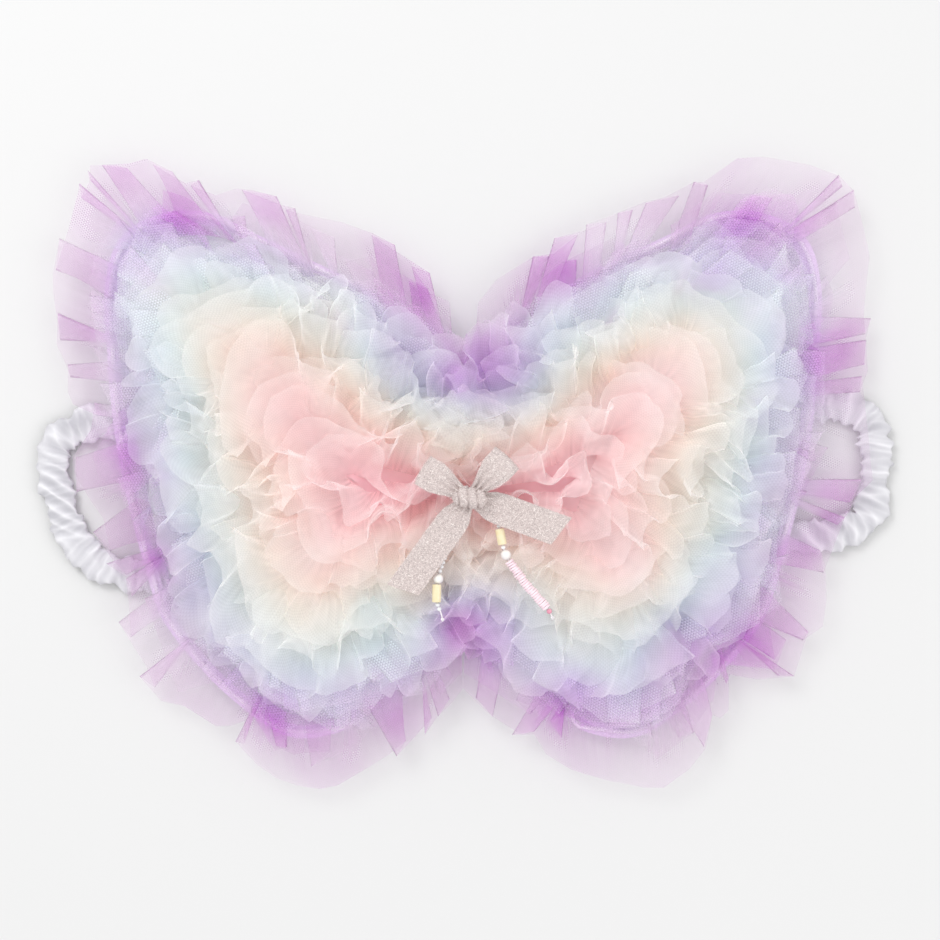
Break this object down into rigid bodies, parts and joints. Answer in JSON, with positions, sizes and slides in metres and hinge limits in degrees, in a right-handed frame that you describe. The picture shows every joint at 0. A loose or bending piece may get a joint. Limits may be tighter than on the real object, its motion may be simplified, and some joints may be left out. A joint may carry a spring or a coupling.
{
  "type": "fairy wings",
  "caption": "Costume butterfly wings: two wire-framed wings covered in gathered tulle rows, hinged at a padded back panel, with a bow, bead strings and ruched elastic arm loops.",
  "frame": {"origin": "middle of the footprint on the surface under the back pad, with the wings lying open on their back", "axes": "+X to the right as the decorated face is looked at, +Y towards the upper wing tips (the wearer's head), +Z out of the decorated face, away from the wearer's back"},
  "size_m": [0.5217, 0.3787, 0.0585],
  "materials": {
    "border_tulle": "sheer knife-pleated tulle",
    "lavender_tulle": "sheer gathered tulle",
    "blue_tulle": "sheer gathered tulle",
    "mint_tulle": "sheer gathered tulle",
    "cream_tulle": "sheer gathered tulle",
    "peach_tulle": "sheer gathered tulle",
    "pink_tulle": "sheer gathered tulle",
    "base_net": "sheer net",
    "covered_wire": "white cloth-covered wire",
    "binding": "satin seam binding",
    "pad_cloth": "soft brushed cloth",
    "foam": "soft foam",
    "card": "flexible plastic sheet",
    "webbing": "woven tape",
    "satin": "ruched satin",
    "elastic": "knitted elastic",
    "glitter_ribbon": "glitter ribbon",
    "thread": "beading thread",
    "seed_bead": "clear white glass",
    "pearl": "pearlised",
    "tube_bead": "pale yellow, glossy",
    "disc_bead": "pale pink, glossy",
    "end_bead": "hot pink, glossy"
  },
  "bodies": {
    "centre": {"back_pad_cover": "pad_cloth", "back_pad_foam": "foam", "spine_card": "card", "centre_base_net": "base_net", "left_hinge_loops": "webbing", "right_hinge_loops": "webbing", "centre_border_ruffle": "border_tulle", "centre_lavender_ruffle": "lavender_tulle", "centre_blue_ruffle": "blue_tulle", "centre_mint_ruffle": "mint_tulle", "centre_cream_ruffle": "cream_tulle", "centre_peach_ruffle": "peach_tulle", "centre_pink_ruffle": "pink_tulle", "bow_knot": "glitter_ribbon", "bow_left_loop": "glitter_ribbon", "bow_right_loop": "glitter_ribbon", "bow_left_tail": "glitter_ribbon", "bow_right_tail": "glitter_ribbon"},
    "left_wing": {"left_wire_frame": "covered_wire", "left_edge_binding": "binding", "left_base_net": "base_net", "left_border_ruffle": "border_tulle", "left_lavender_ruffle": "lavender_tulle", "left_blue_ruffle": "blue_tulle", "left_mint_ruffle": "mint_tulle", "left_cream_ruffle": "cream_tulle", "left_peach_ruffle": "peach_tulle", "left_pink_ruffle": "pink_tulle"},
    "right_wing": {"right_wire_frame": "covered_wire", "right_edge_binding": "binding", "right_base_net": "base_net", "right_border_ruffle": "border_tulle", "right_lavender_ruffle": "lavender_tulle", "right_blue_ruffle": "blue_tulle", "right_mint_ruffle": "mint_tulle", "right_cream_ruffle": "cream_tulle", "right_peach_ruffle": "peach_tulle", "right_pink_ruffle": "pink_tulle"},
    "left_arm_loop": {"left_strap_sleeve": "satin", "left_strap_elastic": "elastic", "left_strap_tabs": "webbing"},
    "right_arm_loop": {"right_strap_sleeve": "satin", "right_strap_elastic": "elastic", "right_strap_tabs": "webbing"},
    "left_bead_string": {"left_bead_thread": "thread", "left_seed_beads": "seed_bead", "left_pearl_bead": "pearl", "left_tube_bead": "tube_bead", "left_end_beads": "seed_bead"},
    "right_bead_string": {"right_bead_thread": "thread", "right_tube_bead": "tube_bead", "right_seed_beads": "seed_bead", "right_pearl_bead": "pearl", "right_disc_beads": "disc_bead", "right_end_bead": "end_bead"}
  },
  "joints": [
    {"name": "left_wing_fold", "type": "hinge", "parent": "centre", "child": "left_wing", "pos_m": [-0.066, 0, 0.012], "axis": [0, 1, 0], "range_deg": [0, 50]},
    {"name": "right_wing_fold", "type": "hinge", "parent": "centre", "child": "right_wing", "pos_m": [0.066, 0, 0.012], "axis": [0, -1, 0], "range_deg": [0, 50]},
    {"name": "left_arm_loop_swing", "type": "hinge", "parent": "centre", "child": "left_arm_loop", "pos_m": [-0.0629, 0, 0.0045], "axis": [0, -1, 0], "range_deg": [0, 90]},
    {"name": "right_arm_loop_swing", "type": "hinge", "parent": "centre", "child": "right_arm_loop", "pos_m": [0.0629, 0, 0.0045], "axis": [0, 1, 0], "range_deg": [0, 90]},
    {"name": "left_bead_string_swing", "type": "hinge", "parent": "centre", "child": "left_bead_string", "pos_m": [0.0025, -0.0182, 0.0435], "axis": [0, 0, 1], "range_deg": [-30, 10]},
    {"name": "right_bead_string_swing", "type": "hinge", "parent": "centre", "child": "right_bead_string", "pos_m": [0.006, -0.018, 0.0435], "axis": [0, 0, 1], "range_deg": [-20, 5]}
  ]
}
